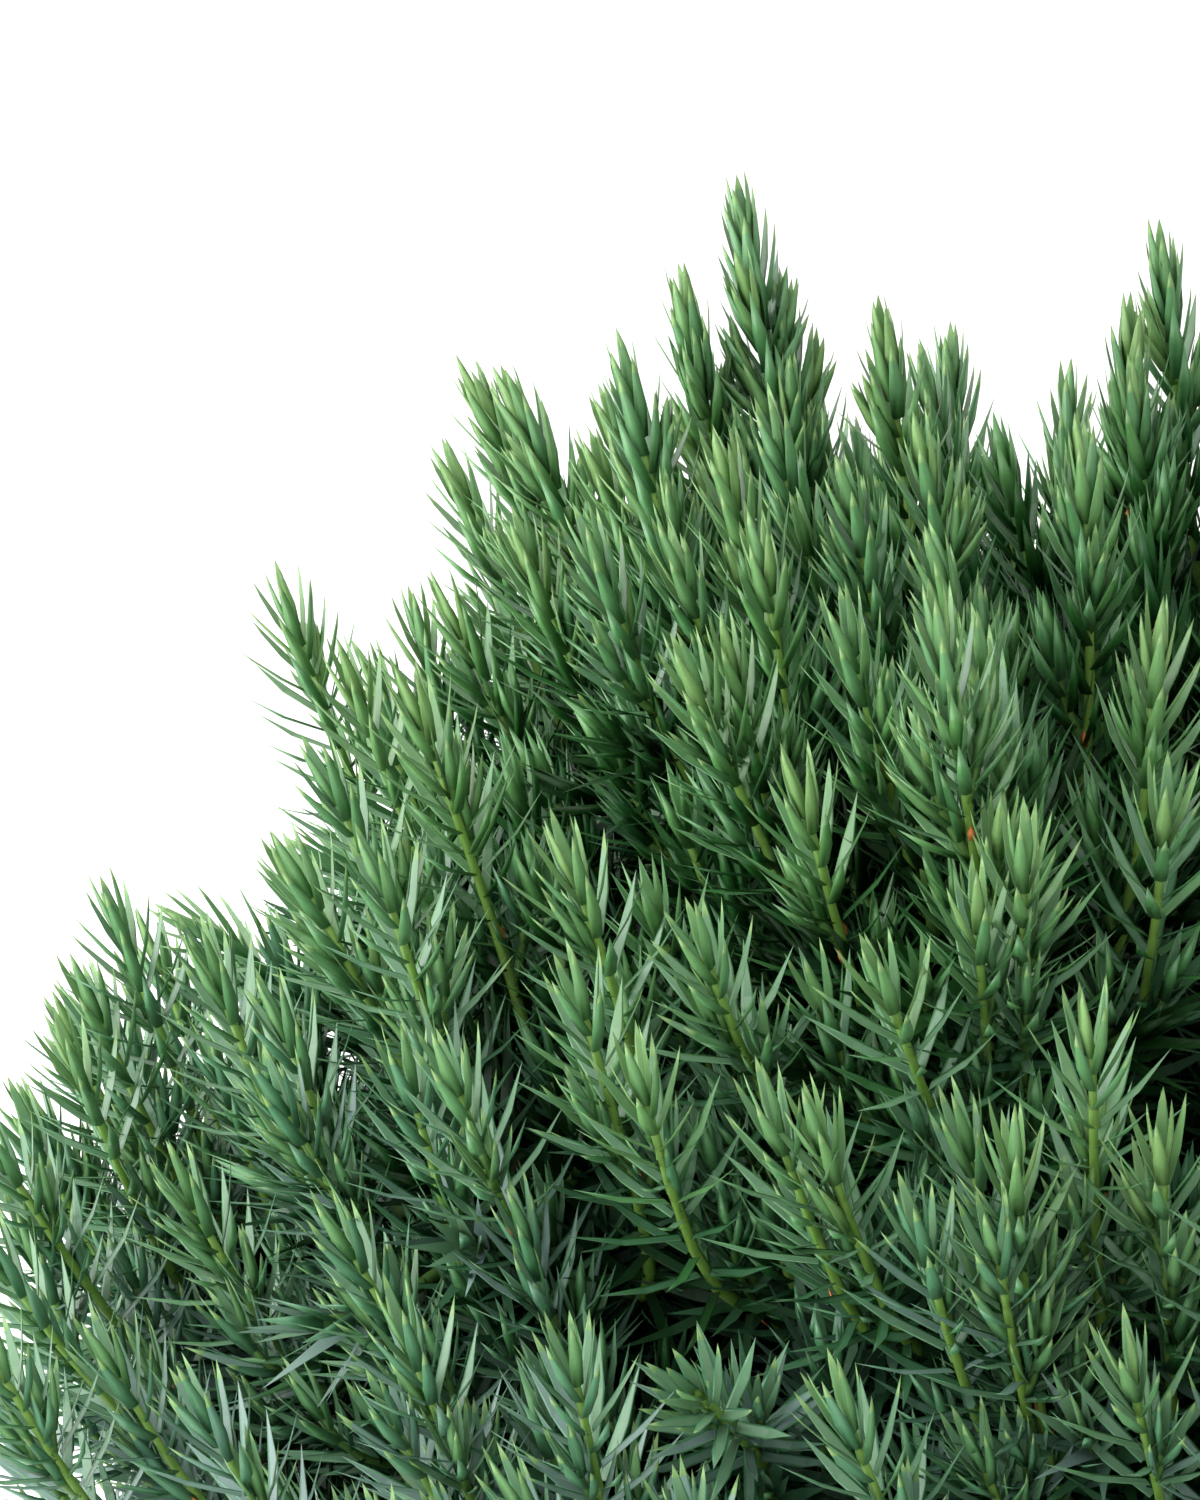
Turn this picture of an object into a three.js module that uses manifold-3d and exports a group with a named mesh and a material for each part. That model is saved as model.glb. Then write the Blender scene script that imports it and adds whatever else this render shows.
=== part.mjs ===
// A young blue star juniper: a dense, low, mounding shrub on one short stem, rooted in the ground.
// Millimetres, +Z up. The origin is the middle of the stem's flat cut at ground level.
//
// A short trunk sends out one bough to each mass of foliage. The masses lie round the crown on an even
// lattice. Each holds a dense heart, a stem that meets its bough, and a fan of shoots, and each shoot is a
// slim three-sided twig with whorls of three needles that stand out of it. A mass keeps to its own cell:
// the space nearer to its middle than to any other mass's.
import * as THREE from "three";
import { mergeVertices } from "three/addons/utils/BufferGeometryUtils.js";
import Module from "manifold-3d";

const { sin, cos, sqrt, hypot, acos, atan2, floor, round, min, max, PI } = Math;
const wasm = await Module();
wasm.setup();

// The crown: half an ellipsoid that hangs a little below its own middle.
const CROWN_MIDDLE = new THREE.Vector3(0, 0, 47);
const CROWN_RADII = new THREE.Vector3(114, 112, 117);
const CROWN_DROOP = (18.6 * PI) / 180; // the lowest shoots' angle below the crown's middle
const GOLDEN_ANGLE = PI * (3 - sqrt(5));
const LEAN_AT_TOP = 0.4; // how far growth leans out, as a share of its place's angle from straight up
const LEAN_GAINS = 0.25; // what that share gains by the crown's widest level

// The masses of foliage.
const MASSES = 28;
const MASS_DROOP = (6 * PI) / 180;
const MASS_PHASE = 0.974;
const HEART_DEPTH = 42; // from the crown's face in to the middle of a mass's heart
const HEART_RADIUS_ACROSS = 25;
const HEART_RADIUS_ALONG = 15;
const HEART_GAP = 1.2; // between a heart and the wall of its cell
const LOWEST_HEART = 23;
const HEART_SIDES = 7;
const HEART_ROWS = 5;
const TUFT_HEIGHT = 9;
const TUFTS_FROM = (40 * PI) / 180; // tufts stand round the shoots, at these angles from the mass's axis
const TUFTS_TO = (105 * PI) / 180;
const CELL_SHARE = 0.3; // where a cell's middle lies, from the heart to the crown's face

// The shoots.
const SHOOTS = 286;
const SHOOT_PHASE = 5.568;
const SHOOT_SEED = 191;
const STRAY_RISE = 0.03; // how far a shoot's place strays from the lattice, in the sine of its height
const STRAY_TURN = 0.08; // and sideways, in radians at the crown's widest
const LEAST_FLAT = 0.3;
const TIP_STANDS_OUT = 6; // how far the longest ordinary shoots pass the crown's face
const TIP_VARIES = 5;
const TIP_DIPS = 16; // how much shorter a shoot is at this distance from its mass's axis
const DIP_DISTANCE = 30;
const SHORTEST_REACH = -24;
const TWIG_RADIUS_TOP = 1.5;
const TWIG_RADIUS_FOOT = 2.1;
const SPEAR_LENGTH = 10; // the closed bud of young needles at a shoot's end
const WHORL_SPACING = 10;
const NEEDLE_REACH = 8.5; // from the twig's axis out to a needle's point
const NEEDLE_RISE = 11; // from a needle's foot up to its point, along the twig
const ROOT_SUNK = 5; // how far a shoot's foot lies inside the heart
const CROWDING_ANGLE = 0.03; // how far a needle may reach towards another shoot's way, seen from the heart

// The leading shoots, which stand above the crown: where each one's tip is.
const LEADERS = [
  [-42, 4, 176],
  [-54, -6, 161],
  [-70, 20, 155],
  [-91, 35, 130],
  [-106, -12, 107],
  [-116, -6, 84],
  [-28, -8, 165],
  [-18, 47, 155],
  [-3, 64, 148],
  [1, 5, 171],
  [-73, 39, 143],
  [-111, 10, 92],
].map((at) => new THREE.Vector3(...at));

// More shoots that stand beside the leading ones or fill the crown out on its low left: each one's tip.
const MORE_TIPS = [
  [-48, 2, 167],
  [-66, 15, 155],
  [-57, -2, 151],
  [-38, 5, 166],
  [-98, -10, 102],
  [-109, -14, 99],
  [-76, 29, 129],
  [-82, 28, 123],
  [-90, 8, 106],
  [-85, 0, 100],
  [-110, -22, 95],
  [-117, -34, 88],
  [-117, -46, 82],
  [-116, -58, 76],
  [-98, -45, 88],
  [-95, -70, 74],
  [-105, -54, 74],
].map((at) => new THREE.Vector3(...at));

// The trunk and the boughs.
const TRUNK_HEIGHT = 42;
const TRUNK_LEAN = new THREE.Vector2(3, -2); // how far the top stands to the side of the foot
const TRUNK_SIDES = 15;
const TRUNK_PROFILE = [
  [0, 0],
  [13, 0],
  [10.5, 3],
  [8.4, 8],
  [7.3, 16],
  [6.7, 28],
  [6.1, 38],
  [4.4, TRUNK_HEIGHT],
  [0, TRUNK_HEIGHT],
];
const ROOT_LOBES = 5;
const LOBE_DEPTH = 0.2;
const LOBES_END = 10; // the height at which the root flare has run out
const BOUGH_RADIUS_FOOT = 2.5;
const BOUGH_RADIUS_TIP = 1.7;
const BOUGH_SIDES = 5;
const BOUGH_STEPS = 3;
const LOWEST_BOUGH = 10;
const HIGHEST_BOUGH = 37;
const BOUGH_RISES = 0.35; // how steeply a bough leaves the trunk
const BOUGH_TURNS = 0.35; // how far it has turned into its mass's axis where it ends
const BOUGH_EASE = 0.35; // the share of its span over which it bends, at either end
const STEM_SHOWS = 7; // the length of a mass's stem between its bough and its heart
const STEM_SIDES = 5;
const STEM_RADIUS_END = 1;

const CLEARANCE = 0.3; // between neighbouring solids
const GROUND_CLEARANCE = 2;
const UP = new THREE.Vector3(0, 0, 1);

// What each repeatable number is used for.
const FOR_RISE = SHOOT_SEED;
const FOR_SWAY = SHOOT_SEED + 1;
const FOR_REACH = SHOOT_SEED + 7;
const FOR_TWIST = 3;

const bark = new THREE.MeshStandardMaterial({ color: 0x6b5138, roughness: 0.9, metalness: 0 });
const youngBark = new THREE.MeshStandardMaterial({ color: 0x7a5c3c, roughness: 0.85, metalness: 0 });
const needles = new THREE.MeshStandardMaterial({ color: 0x4c7f62, roughness: 0.6, metalness: 0 });

// A repeatable number from 0 to 1 for one thing's number and one purpose.
function chance(number, purpose) {
  const wave = sin(number * 127.1 + purpose * 311.7) * 43758.5453;
  return wave - floor(wave);
}

// ---- The growth rule ----

// The direction from the crown's middle to one of count places spread evenly over the crown, or near it.
function latticeDirection(number, count, phase, droop, strays = false) {
  const level = 1 - ((number + 0.5) / count) * (1 + sin(droop));
  const rise = strays ? min(0.999, level + STRAY_RISE * (chance(number, FOR_RISE) - 0.5)) : level;
  const flat = sqrt(1 - rise * rise);
  const sway = strays ? (STRAY_TURN * (chance(number, FOR_SWAY) - 0.5)) / max(LEAST_FLAT, flat) : 0;
  const turn = number * GOLDEN_ANGLE + phase + sway;
  return new THREE.Vector3(flat * cos(turn), flat * sin(turn), rise);
}

// The point of the crown's face in a direction, or one that stands out of it by reach.
function crownPoint(direction, reach = 0) {
  const face = 1 / direction.clone().divide(CROWN_RADII).length();
  return CROWN_MIDDLE.clone().addScaledVector(direction, face + reach);
}

// The way that growth points at a place on the crown: up at the top, and leaning out further down its sides.
function growingDirection(direction) {
  const polar = acos(direction.z);
  const lean = polar * (LEAN_AT_TOP + LEAN_GAINS * (polar / (PI / 2)) ** 4);
  const across = new THREE.Vector3(direction.x, direction.y, 0).normalize();
  return across.multiplyScalar(sin(lean)).addScaledVector(UP, cos(lean));
}

// A mass's place: the middle of its heart, its axis and the middle of its cell.
function planMass(number) {
  const direction = latticeDirection(number, MASSES, MASS_PHASE, MASS_DROOP);
  const face = crownPoint(direction);
  const heart = face.clone().addScaledVector(growingDirection(direction), -HEART_DEPTH);
  heart.z = max(heart.z, LOWEST_HEART);
  const axis = face.clone().sub(heart).normalize();
  return { number, heart, axis, middle: heart.clone().lerp(face, CELL_SHARE), walls: [], tips: [] };
}

// The flat walls of a mass's cell: halfway to each other mass's middle, and just above the ground. A wall
// faces out of the cell, and reach is its distance from the origin along the way it faces.
function planWalls(mass, masses) {
  const walls = masses
    .filter((other) => other !== mass)
    .map((other) => {
      const facing = other.middle.clone().sub(mass.middle).normalize();
      const between = other.middle.clone().lerp(mass.middle, 0.5);
      return { facing, reach: facing.dot(between) };
    });
  return [...walls, { facing: UP.clone().negate(), reach: -GROUND_CLEARANCE }];
}

const nearest = (masses, point) =>
  masses.reduce((a, b) => (a.middle.distanceTo(point) <= b.middle.distanceTo(point) ? a : b));

// The tip of an ordinary shoot: it stands furthest out on its mass's axis and dips towards the edges.
function planTip(number, masses) {
  const direction = latticeDirection(number, SHOOTS, SHOOT_PHASE, CROWN_DROOP, true);
  const face = crownPoint(direction);
  const mass = nearest(masses, face);
  const off = face.clone().sub(mass.heart);
  const aside = off.addScaledVector(mass.axis, -off.dot(mass.axis)).length();
  const varied = TIP_VARIES * (2 * chance(number, FOR_REACH) - 1);
  const reach = varied - TIP_DIPS * (aside / DIP_DISTANCE) ** 2;
  return crownPoint(direction, TIP_STANDS_OUT + max(SHORTEST_REACH, reach));
}

// All masses, each with the tips of the shoots that grow in its cell.
function planPlant() {
  const masses = Array.from({ length: MASSES }, (_, number) => planMass(number));
  for (const mass of masses) mass.walls = planWalls(mass, masses);
  const tips = Array.from({ length: SHOOTS }, (_, number) => planTip(number, masses));
  for (const leader of LEADERS) {
    const place = tips.reduce((a, b) => (a.distanceTo(leader) <= b.distanceTo(leader) ? a : b));
    place.copy(leader);
  }
  tips.push(...MORE_TIPS);
  tips.forEach((tip, number) => nearest(masses, tip).tips.push({ tip, number }));
  return masses;
}

// How far a point lies inside a mass's cell, from the nearest wall. It is negative outside.
const roomInCell = (mass, point) => min(...mass.walls.map(({ facing, reach }) => reach - facing.dot(point)));

// How far a mass's heart reaches in a direction: an ellipsoid's radius and what stands out of it, or as far
// as its cell's walls allow.
function heartReach(mass, direction, standsOut = 0) {
  const along = direction.dot(mass.axis);
  const across = sqrt(max(0, 1 - along * along));
  const ellipsoid = 1 / hypot(along / HEART_RADIUS_ALONG, across / HEART_RADIUS_ACROSS);
  const limits = mass.walls
    .filter(({ facing }) => facing.dot(direction) > 0)
    .map(({ facing, reach }) => (reach - facing.dot(mass.heart) - HEART_GAP) / facing.dot(direction));
  return min(ellipsoid + standsOut, ...limits);
}

// ---- Solids ----

function solidOf(geometry) {
  const bare = geometry.clone();
  bare.deleteAttribute("normal");
  bare.deleteAttribute("uv");
  const merged = mergeVertices(bare, 1e-4);
  const vertProperties = merged.attributes.position.array;
  const triVerts = new Uint32Array(merged.index.array);
  return new wasm.Manifold(new wasm.Mesh({ numProp: 3, vertProperties, triVerts }));
}

function geometryOf(solid) {
  const { vertProperties, triVerts, numProp, numVert } = solid.getMesh();
  const positions = new Float32Array(numVert * 3);
  for (let i = 0; i < numVert; i++) {
    positions.set(vertProperties.subarray(i * numProp, i * numProp + 3), i * 3);
  }
  const geometry = new THREE.BufferGeometry();
  geometry.setAttribute("position", new THREE.BufferAttribute(positions, 3));
  geometry.setIndex(new THREE.BufferAttribute(new Uint32Array(triVerts), 1));
  geometry.computeVertexNormals();
  return geometry;
}

// The largest of a solid's shells. This fills a hollow that joining has sealed, and drops a loose scrap.
function largestShell(solid) {
  return solid.decompose().reduce((a, b) => (a.volume() >= b.volume() ? a : b));
}

function geometryFrom(points, faces) {
  const geometry = new THREE.BufferGeometry().setFromPoints(points);
  return geometry.setIndex(faces.flat());
}

// A closed limb along a curve, round in section, that tapers evenly from its foot to its tip.
function limbGeometry(curve, footRadius, tipRadius, sides, steps) {
  const { normals, binormals } = curve.computeFrenetFrames(steps);
  const points = [];
  const faces = [];
  for (let step = 0; step <= steps; step++) {
    const radius = footRadius + ((tipRadius - footRadius) * step) / steps;
    for (let side = 0; side < sides; side++) {
      const turn = (side / sides) * 2 * PI;
      const point = curve.getPointAt(step / steps);
      point.addScaledVector(normals[step], radius * cos(turn));
      points.push(point.addScaledVector(binormals[step], radius * sin(turn)));
    }
  }
  for (let step = 0; step < steps; step++) {
    for (let side = 0; side < sides; side++) {
      const [a, b] = [side, (side + 1) % sides].map((at) => step * sides + at);
      faces.push([a, b, b + sides], [a, b + sides, a + sides]);
    }
  }
  for (let side = 1; side < sides - 1; side++) {
    const last = steps * sides;
    faces.push([0, side + 1, side], [last, last + side, last + side + 1]);
  }
  return geometryFrom(points, faces);
}

// A shoot from foot to tip. Its twig is a stack of three-cornered rings, each turned by a sixth of a turn
// from the last, so that three upright triangles stand on each ring. A needle is a pyramid on one of them.
function shootGeometry(foot, tip, turn, growsHere) {
  const along = tip.clone().sub(foot);
  const length = along.length();
  along.normalize();
  const across = new THREE.Vector3().crossVectors(along, UP).normalize();
  const upright = new THREE.Vector3().crossVectors(along, across);
  const rings = max(2, 1 + round((length - SPEAR_LENGTH) / WHORL_SPACING));
  const spacing = (length - SPEAR_LENGTH) / (rings - 1);
  const place = (height, radius, angle) =>
    foot
      .clone()
      .addScaledVector(along, height)
      .addScaledVector(across, radius * cos(angle))
      .addScaledVector(upright, radius * sin(angle));
  const points = [];
  const faces = [[2, 1, 0]];
  for (let ring = 0; ring < rings; ring++) {
    const share = ring / (rings - 1);
    const radius = TWIG_RADIUS_FOOT + (TWIG_RADIUS_TOP - TWIG_RADIUS_FOOT) * share;
    for (let corner = 0; corner < 3; corner++) {
      points.push(place(ring * spacing, radius, turn + ((ring + 2 * corner) * PI) / 3));
    }
  }
  for (let ring = 0; ring < rings - 1; ring++) {
    for (let corner = 0; corner < 3; corner++) {
      const [a, b] = [corner, (corner + 1) % 3].map((at) => 3 * ring + at);
      const [c, d] = [a + 3, b + 3];
      const outward = turn + ((ring + 2 * corner + 1) * PI) / 3;
      const point = place(ring * spacing + NEEDLE_RISE, NEEDLE_REACH, outward);
      faces.push([b, d, c]);
      if (growsHere(point)) {
        const p = points.push(point) - 1;
        faces.push([a, b, p], [b, c, p], [c, a, p]);
      } else {
        faces.push([a, b, c]);
      }
    }
  }
  const top = 3 * (rings - 1);
  const end = points.push(tip.clone()) - 1;
  for (let corner = 0; corner < 3; corner++) {
    faces.push([top + corner, top + ((corner + 1) % 3), end]);
  }
  return geometryFrom(points, faces);
}

// A trunk with root lobes that fade out above the ground, leaning a little. It can be grown on every side.
function trunkGeometry(grow = 0) {
  const profile = TRUNK_PROFILE.map(([radius, height]) => {
    const wider = radius > 0 ? radius + grow : 0;
    const higher = height < TRUNK_HEIGHT ? height : height + grow;
    return new THREE.Vector2(wider, height > 0 ? higher : -grow);
  });
  const trunk = new THREE.LatheGeometry(profile, TRUNK_SIDES).rotateX(PI / 2);
  const at = trunk.attributes.position;
  for (let i = 0; i < at.count; i++) {
    const [x, y, z] = [at.getX(i), at.getY(i), at.getZ(i)];
    const fade = max(0, 1 - max(0, z) / LOBES_END);
    const lobe = 1 + LOBE_DEPTH * fade * cos(ROOT_LOBES * atan2(y, x));
    const leaning = max(0, z) / TRUNK_HEIGHT;
    at.setXYZ(i, x * lobe + TRUNK_LEAN.x * leaning, y * lobe + TRUNK_LEAN.y * leaning, z);
  }
  return trunk;
}

// A mass's heart: a ball that is pushed out to the heart's reach in every direction. The faces of its flanks
// are raised to short points where there is room, as tufts of needles.
function heartGeometry(mass) {
  const turned = new THREE.Quaternion().setFromUnitVectors(new THREE.Vector3(0, 1, 0), mass.axis);
  const ball = new THREE.SphereGeometry(1, HEART_SIDES, HEART_ROWS).applyQuaternion(turned).toNonIndexed();
  const corners = ball.attributes.position;
  const reachOut = (way, standsOut) =>
    mass.heart.clone().addScaledVector(way, heartReach(mass, way, standsOut));
  const points = [];
  const faces = [];
  for (let i = 0; i < corners.count; i += 3) {
    const ways = [i, i + 1, i + 2].map((at) => new THREE.Vector3().fromBufferAttribute(corners, at));
    const middleWay = ways[0].clone().add(ways[1]).add(ways[2]).normalize();
    const [a, b, c] = ways.map((way) => points.push(reachOut(way.normalize(), 0)) - 1);
    const room = heartReach(mass, middleWay, TUFT_HEIGHT) - heartReach(mass, middleWay);
    const aside = middleWay.angleTo(mass.axis);
    if (aside > TUFTS_FROM && aside < TUFTS_TO && room > TUFT_HEIGHT / 2) {
      const p = points.push(reachOut(middleWay, TUFT_HEIGHT)) - 1;
      faces.push([a, b, p], [b, c, p], [c, a, p]);
    } else {
      faces.push([a, b, c]);
    }
  }
  return geometryFrom(points, faces);
}

// The bough's whole line, from inside the trunk to where the mass's stem begins.
function boughCurve(mass) {
  const share = mass.number / (MASSES - 1);
  const height = HIGHEST_BOUGH + (LOWEST_BOUGH - HIGHEST_BOUGH) * share;
  const leaning = height / TRUNK_HEIGHT;
  const foot = new THREE.Vector3(TRUNK_LEAN.x * leaning, TRUNK_LEAN.y * leaning, height);
  const straight = mass.heart.clone().sub(foot).normalize();
  const arrives = straight.clone().lerp(mass.axis, BOUGH_TURNS).normalize();
  const entry = heartReach(mass, arrives.clone().negate());
  const tip = mass.heart.clone().addScaledVector(arrives, -(entry + STEM_SHOWS));
  const span = foot.distanceTo(tip);
  const leaves = new THREE.Vector3(straight.x, straight.y, BOUGH_RISES).normalize().lerp(straight, 0.5);
  return {
    arrives,
    curve: new THREE.CubicBezierCurve3(
      foot,
      foot.clone().addScaledVector(leaves, span * BOUGH_EASE),
      tip.clone().addScaledVector(arrives, -span * BOUGH_EASE),
      tip,
    ),
  };
}

// The foliage of one mass: its heart, its stem and its shoots, joined. A shoot that would leave the cell is
// left out, and so is a needle that would leave it or grow in among another shoot's needles.
function foliageSolid(mass, bough) {
  const stemFoot = bough.curve.v3.clone().addScaledVector(bough.arrives, CLEARANCE);
  const stem = new THREE.LineCurve3(stemFoot, mass.heart);
  let solid = solidOf(heartGeometry(mass));
  solid = solid.add(solidOf(limbGeometry(stem, BOUGH_RADIUS_TIP, STEM_RADIUS_END, STEM_SIDES, 1)));
  const staysInside = (point, radius = 0) => roomInCell(mass, point) > radius + CLEARANCE;
  const wayTo = (point) => point.clone().sub(mass.heart).normalize();
  const ways = mass.tips.map(({ tip }) => wayTo(tip));
  mass.tips.forEach(({ tip, number }, at) => {
    const along = ways[at];
    const foot = mass.heart.clone().addScaledVector(along, heartReach(mass, along) - ROOT_SUNK);
    const spearFoot = tip.clone().addScaledVector(along, -SPEAR_LENGTH);
    if (!staysInside(tip) || !staysInside(spearFoot, TWIG_RADIUS_TOP)) return;
    const growsHere = (point) => {
      const nearestWay = min(...ways.map((way) => way.angleTo(wayTo(point))));
      return staysInside(point) && along.angleTo(wayTo(point)) < nearestWay + CROWDING_ANGLE;
    };
    const turn = chance(number, FOR_TWIST) * 2 * PI;
    solid = solid.add(solidOf(shootGeometry(foot, tip, turn, growsHere)));
  });
  return largestShell(solid);
}

const plant = new THREE.Group();

function show(geometry, material, name) {
  const mesh = new THREE.Mesh(geometry, material);
  mesh.name = name;
  plant.add(mesh);
}

show(trunkGeometry(), bark, "trunk");
const roundTheTrunk = solidOf(trunkGeometry(CLEARANCE));
for (const mass of planPlant()) {
  const label = String(mass.number + 1).padStart(2, "0");
  const bough = boughCurve(mass);
  const whole = solidOf(
    limbGeometry(bough.curve, BOUGH_RADIUS_FOOT, BOUGH_RADIUS_TIP, BOUGH_SIDES, BOUGH_STEPS),
  );
  show(geometryOf(whole.subtract(roundTheTrunk)), youngBark, `bough_${label}`);
  show(geometryOf(foliageSolid(mass, bough)), needles, `foliage_${label}`);
}

export default plant;
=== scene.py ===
"""A young blue star juniper, dressed: barked stem and boughs, green twigs and needles as small blades.

The plant grows by one rule. An even lattice over the crown gives the masses of foliage their places, and a
finer lattice gives the shoots their tips. Each mass gets a bough from the stem. Each shoot bends up from its
mass's heart to its tip and carries side shoots. Every twig has whorls of three needles, closed over each
other in a bud at its end and standing wider the older they are. Sizes are in millimetres and angles in
radians, if nothing else is said, and meshes are made in metres.
"""
import math

import bpy
import numpy as np
from mathutils import Matrix, Vector


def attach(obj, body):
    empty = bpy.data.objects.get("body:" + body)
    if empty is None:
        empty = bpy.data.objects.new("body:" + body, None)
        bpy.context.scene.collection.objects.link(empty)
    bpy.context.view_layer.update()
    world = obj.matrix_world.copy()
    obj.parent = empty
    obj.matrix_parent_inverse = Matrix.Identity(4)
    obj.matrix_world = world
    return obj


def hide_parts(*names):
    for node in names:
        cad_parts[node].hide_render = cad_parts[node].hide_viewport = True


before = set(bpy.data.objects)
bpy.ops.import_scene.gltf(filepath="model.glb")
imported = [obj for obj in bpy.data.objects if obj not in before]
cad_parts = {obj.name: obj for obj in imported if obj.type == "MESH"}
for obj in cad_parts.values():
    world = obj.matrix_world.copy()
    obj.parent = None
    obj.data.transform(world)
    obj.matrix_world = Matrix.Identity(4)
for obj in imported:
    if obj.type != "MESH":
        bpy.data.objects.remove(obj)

MM = 0.001
GOLDEN_ANGLE = math.pi * (3 - math.sqrt(5))
UP = np.array([0.0, 0.0, 1.0])
LEVEL = np.array([1.0, 1.0, 0.0])  # a vector times this has lost its rise

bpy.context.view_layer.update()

# ---- The crown, its masses and its leading shoots ----

CROWN_MIDDLE = np.array([0.0, 0.0, 47.0])
CROWN_RADII = np.array([114.0, 112.0, 117.0])
CROWN_DROOP = math.radians(18.6)  # how far below level the lowest shoots' places lie, seen from the middle
LEAN_AT_TOP = 0.4  # how far a mass's growth leans out, as a share of its place's angle from straight up
LEAN_GAINS = 0.25  # how much that share has gained at a level place

MASSES = 28
MASS_DROOP = math.radians(6)
MASS_PHASE = 0.974
HEART_DEPTH = 42.0  # how far within the crown's face a mass's heart lies
LOWEST_HEART = 23.0
CELL_SHARE = 0.3  # how far on the way from its heart to the crown's face the middle of a mass's cell lies

SHOOTS = 286
SHOOT_PHASE = 5.568
SHOOT_SEED = 191
STRAY_RISE = 0.03  # how far the shoots' places stray from the lattice, up and down
STRAY_TURN = 0.08  # and round the crown
LEAST_FLAT = 0.3  # the narrowest that the crown is taken to be for that
TIP_STANDS_OUT = 6.0  # how far a tip on its mass's axis stands out of the crown
TIP_VARIES = 5.0
TIP_DIPS = 16.0  # how much less a tip stands out that lies the next distance off the axis
DIP_DISTANCE = 30.0
SHORTEST_REACH = -24.0  # the furthest back that both may bring it
LEADERS = np.array([
    [-42, 4, 176], [-54, -6, 161], [-70, 20, 155], [-91, 35, 130], [-106, -12, 107], [-116, -6, 84],
    [-28, -8, 165], [-18, 47, 155], [-3, 64, 148], [1, 5, 171], [-73, 39, 143], [-111, 10, 92],
], float)
MORE_TIPS = np.array([
    [-48, 2, 167], [-66, 15, 155], [-57, -2, 151], [-38, 5, 166], [-98, -10, 102], [-109, -14, 99],
    [-76, 29, 129], [-82, 28, 123], [-90, 8, 106], [-85, 0, 100], [-110, -22, 95], [-117, -34, 88],
    [-117, -46, 82], [-116, -58, 76], [-98, -45, 88], [-95, -70, 74], [-105, -54, 74],
], float)  # beside the leading shoots, and where the crown is full on its low left
GAP_TIPS = np.array([
    [-40, -18, 157], [-41, -38, 149], [-45, -27, 155], [-34, -53, 144], [-58, -27, 147], [-49, -49, 139],
    [-68, 47, 132], [-26, -38, 158], [-33, -38, 154], [-10, -39, 158], [-82, -11, 131], [-84, -30, 125],
    [-87, -36, 117], [-105, 27, 94], [-95, -34, 107], [-112, -3, 75], [-60, -61, 124], [-59, -71, 114],
    [-48, -75, 119], [-32, -83, 118], [-38, -89, 106], [-18, -78, 129], [-20, -95, 106], [-29, -96, 99],
    [-7, -96, 107], [-11, -104, 89], [-75, -77, 84], [-53, -80, 108], [-65, -89, 72], [-49, -97, 82],
    [-88, -44, 105], [-36, -100, 84], [-49, 8, 147], [-42, 12, 144], [-36, 25, 146], [-57, 10, 143],
    [-30, 15, 140], [-65, 20, 142], [-53, -5, 141], [-71, -68, 106], [-42, -87, 107], [-22, -60, 143],
    [-42, 0, 153], [-46, 0, 147], [-65, 10, 141], [-56, 2, 142], [-73, 20, 132], [-30, 10, 150],
    [-22, 30, 155], [-56, 5, 154], [-102, 5, 100], [-96, -20, 95], [-112, -5, 93], [-116, -10, 84],
    [-90, 0, 100], [-114, -30, 79], [-2, 0, 164],
], float)  # where the crown would else have gaps

# ---- The stem and the boughs ----

TRUNK_HEIGHT = 42.0
TRUNK_LEAN = np.array([3.0, -2.0])
TRUNK_HEIGHTS = np.array([0.0, 3, 8, 16, 28, 38, 42])  # the heights at which the stem has the next radii
TRUNK_RADII = np.array([13.0, 10.5, 8.4, 7.3, 6.7, 6.1, 4.4])
ROOT_LOBES = 5
LOBE_DEPTH = 0.2  # a share of the stem's radius at the ground, which fades out at the next height
LOBES_END = 10.0
LOWEST_BOUGH = 10.0  # the heights between which the boughs leave the stem
HIGHEST_BOUGH = 37.0
BOUGH_RADIUS_FOOT = 2.5
BOUGH_RADIUS_TIP = 1.2
BOUGH_RISES = 0.35  # how steeply a bough leaves the stem, against its level way
BOUGH_TURNS = 0.35  # how far a bough's end turns from its straight way into its mass's axis
BOUGH_EASE = 0.35  # the share of its span that each of its two turns takes
FLAKE_DEPTH = 0.28  # the stem's bark: how far its broad and its fine flakes stand out or in
FINE_FLAKE_DEPTH = 0.14
FLAKES_SET_BACK = 0.3
KNOT_DEPTH = 0.1  # the boughs' knots and flakes
FLAKE_RINGS = 0.06

# ---- Shoots ----

BUD_LENGTH = 6.4  # from a twig's end to the points of its last needles
HEART_SPREAD = 9.0  # how far along its mass's axis a shoot may start from the heart's middle
SHOOT_LEAN = math.radians(17)  # how far the ends of the outer shoots lean out
LEANS_FROM = 0.62  # the angle of a shoot's place from straight up from which it leans out that far
FAR_LEAN = 0.7  # how much further a few shoots lean
FAR_LEAN_SHARE = 0.05
FAR_LEAN_SEED = 453  # the purpose by which chance picks them
FAR_LEAN_BELOW = 0.8  # the few are those whose place, a unit vector from the middle, rises less than this
SHOOT_DRIFT = np.array([-0.1, 0.0, 0.0])  # all shoots lean a little to the light
SHOOT_SWAY = 0.24  # how far shoots' ends stray from the way that they should grow
FROM_HEART = 0.08  # how far a shoot's end keeps the straight way from its heart
STRAIGHT_END = 46.0  # how far below its tip a shoot's bend lies, where there is room above the ground
LEAST_STRAIGHT = 36.0  # and how far below it at least, so that the end of a low shoot lies flatter
BEND_STARTS = 0.75  # where the corner before the bend lies, as a share of the way there
LEAVES_STRAIGHT = 0.4  # the share of its length for which any other twig keeps the way that it leaves
TWIGS_ABOVE = 6.0  # how high above the ground twigs stay
TWIG_STEPS = 24  # the steps in which a twig's curve is measured
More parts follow.
